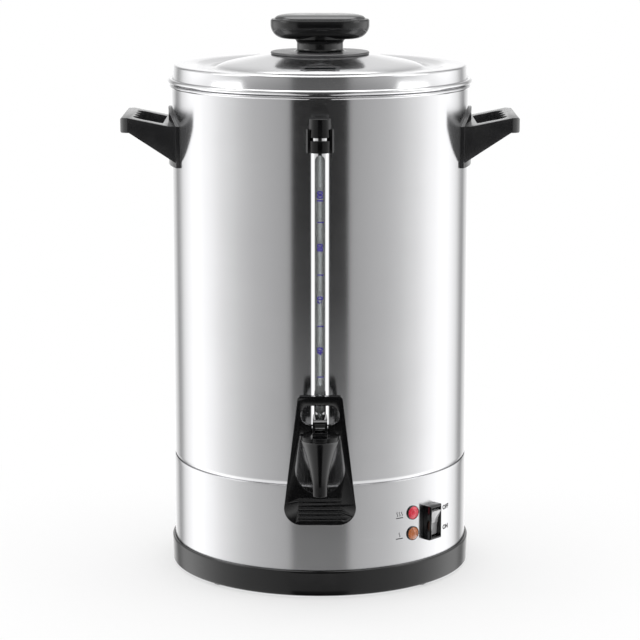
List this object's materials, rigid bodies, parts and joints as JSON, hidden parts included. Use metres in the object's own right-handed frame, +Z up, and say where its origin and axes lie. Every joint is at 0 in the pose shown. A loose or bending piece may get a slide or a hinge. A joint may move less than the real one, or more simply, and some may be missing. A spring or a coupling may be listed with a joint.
{
  "type": "coffee urn",
  "caption": "Cylindrical steel coffee urn with a push-back tap, slotted sight gauge, loop handles, lift-off lid with an oval knob, rocker switch, lamps and a basket percolator.",
  "frame": {"origin": "point on the table under the centre of the tank, in the middle of the four feet", "axes": "+Z up along the tank's axis; the tap faces -Y; the switch is on the +X side of the tap"},
  "size_m": [0.375, 0.3586, 0.5325],
  "materials": {
    "steel_wall": "satin, fine grain that runs round",
    "steel_lid": "satin, pressed",
    "steel_inner": "satin",
    "bright_steel": "polished",
    "shank_metal": "bright plated",
    "base_black": "satin moulded",
    "handle_black": "satin moulded",
    "knob_black": "satin moulded",
    "tap_black": "semi-gloss moulded",
    "switch_black": "gloss moulded",
    "lens_red": "clear tinted lens",
    "lens_amber": "clear tinted lens",
    "sight_tube": "clear tube",
    "silicone": "translucent silicone",
    "foot_rubber": "matt rubber",
    "zinc": "zinc plated",
    "base_sheet": "galvanised sheet",
    "cast_aluminium": "as cast",
    "element_steel": "heat tinted",
    "thermostat_body": "phenolic",
    "fuse_sleeve": "glass sleeve",
    "contact_brass": "bare"
  },
  "bodies": {
    "urn": {"tank": "steel_wall", "tank_floor": "steel_inner", "skirt": "steel_wall", "base_ring": "base_black", "base_plate": "base_sheet", "base_feet": "foot_rubber", "base_screws": "zinc", "tie_rods": "zinc", "tie_nuts": "zinc", "heater_plate": "cast_aluminium", "brew_element": "element_steel", "warm_element": "element_steel", "thermostats": "thermostat_body", "thermal_fuse": "fuse_sleeve", "inlet_socket": "switch_black", "inlet_pins": "contact_brass", "inlet_screws": "zinc", "switch_frame": "switch_black", "switch_terminals": "contact_brass", "lamp_bezels": "switch_black", "lamp_lens_red": "lens_red", "lamp_lens_amber": "lens_amber", "lamp_clips": "zinc", "tap_shank": "shank_metal", "shank_washers": "silicone", "shank_nut": "shank_metal", "tap_body": "tap_black", "tap_bonnet": "tap_black", "valve_spring": "zinc", "gauge_tube": "sight_tube", "gauge_shield": "bright_steel", "gauge_seal": "silicone", "gauge_collar": "tap_black", "gauge_cap": "tap_black", "gauge_screw": "zinc", "handle_left": "handle_black", "handle_right": "handle_black", "handle_screws": "zinc"},
    "lid_body": {"lid": "steel_lid", "heat_disc": "knob_black", "lid_knob": "knob_black", "knob_cap": "knob_black", "knob_screw": "zinc"},
    "pump": {"pump_stem": "steel_inner", "pump_valve": "silicone"},
    "coffee_basket": {"basket": "steel_inner"},
    "spreader": {"basket_cover": "steel_inner"},
    "stem": {"valve_stem": "bright_steel", "valve_plug": "silicone"},
    "lever": {"tap_lever": "tap_black", "lever_pin": "bright_steel"},
    "rocker": {"switch_rocker": "switch_black"}
  },
  "joints": [
    {"name": "lid_lift", "type": "slide", "parent": "urn", "child": "lid_body", "axis": [0, 0, 1], "range_m": [0, 0.48]},
    {"name": "pump_lift", "type": "slide", "parent": "urn", "child": "pump", "axis": [0, 0, 1], "range_m": [0, 0.36]},
    {"name": "basket_lift", "type": "slide", "parent": "pump", "child": "coffee_basket", "axis": [0, 0, 1], "range_m": [0, 0.048]},
    {"name": "cover_lift", "type": "slide", "parent": "coffee_basket", "child": "spreader", "axis": [0, 0, 1], "range_m": [0, 0.048]},
    {"name": "valve_lift", "type": "slide", "parent": "urn", "child": "stem", "axis": [0, 0, 1], "range_m": [0, 0.0026], "stiffness_N_per_m": 300, "springref_m": -0.01, "deforming": ["valve_spring"]},
    {"name": "lever_push", "type": "hinge", "parent": "stem", "child": "lever", "pos_m": [0, -0.195, 0.1755], "axis": [1, 0, 0], "range_deg": [0, 15]},
    {"name": "switch_rock", "type": "hinge", "parent": "urn", "child": "rocker", "pos_m": [0.10432, -0.09796, 0.0625], "axis": [-0.6845, -0.729, 0], "range_deg": [0, 24]}
  ],
  "couplings": [
    {"joint": "pump_lift", "follows": "lid_lift", "ratio": 0.75},
    {"joint": "basket_lift", "follows": "lid_lift", "ratio": 0.1},
    {"joint": "cover_lift", "follows": "lid_lift", "ratio": 0.1},
    {"joint": "lever_push", "follows": "valve_lift", "rad_per_m": 100.69}
  ]
}
